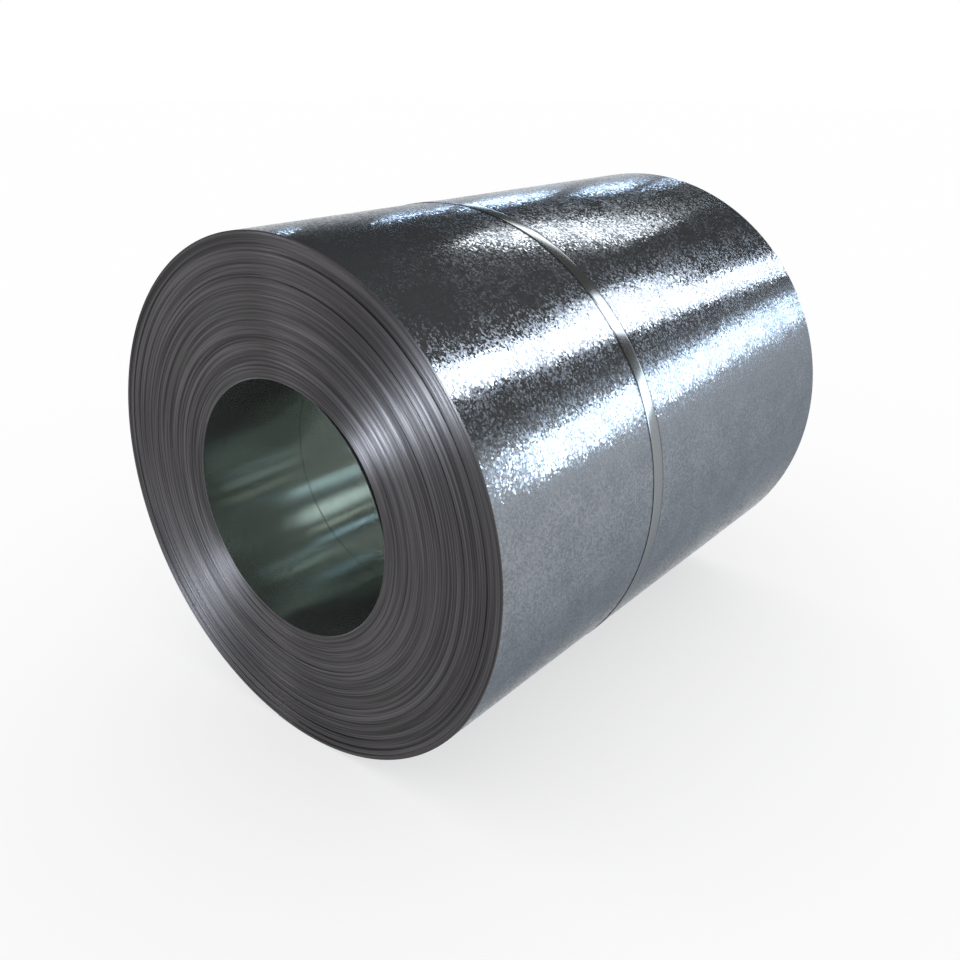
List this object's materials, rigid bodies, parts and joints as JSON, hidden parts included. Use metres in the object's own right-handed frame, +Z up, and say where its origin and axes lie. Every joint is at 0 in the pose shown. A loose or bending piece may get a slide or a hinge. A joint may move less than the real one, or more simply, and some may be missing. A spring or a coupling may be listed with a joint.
{
  "type": "steel strip coil",
  "caption": "Cylindrical coil of spangled galvanised steel strip lying on its side, wound round an open bore and held by a narrow steel strap with a crimped seal.",
  "frame": {"origin": "on the floor under the middle of the coil", "axes": "+Z up, +Y along the bore away from the front end, +X to the right seen from the front"},
  "size_m": [1.0312, 1.253, 1.0318],
  "materials": {
    "zinc_strip": "hot-dip galvanised, bright with a small spangle; bare slit edges on the ends",
    "strap_steel": "dull rolled"
  },
  "bodies": {
    "root": {"coil": "zinc_strip", "strap": "strap_steel", "strap_seal": "strap_steel"}
  },
  "joints": []
}
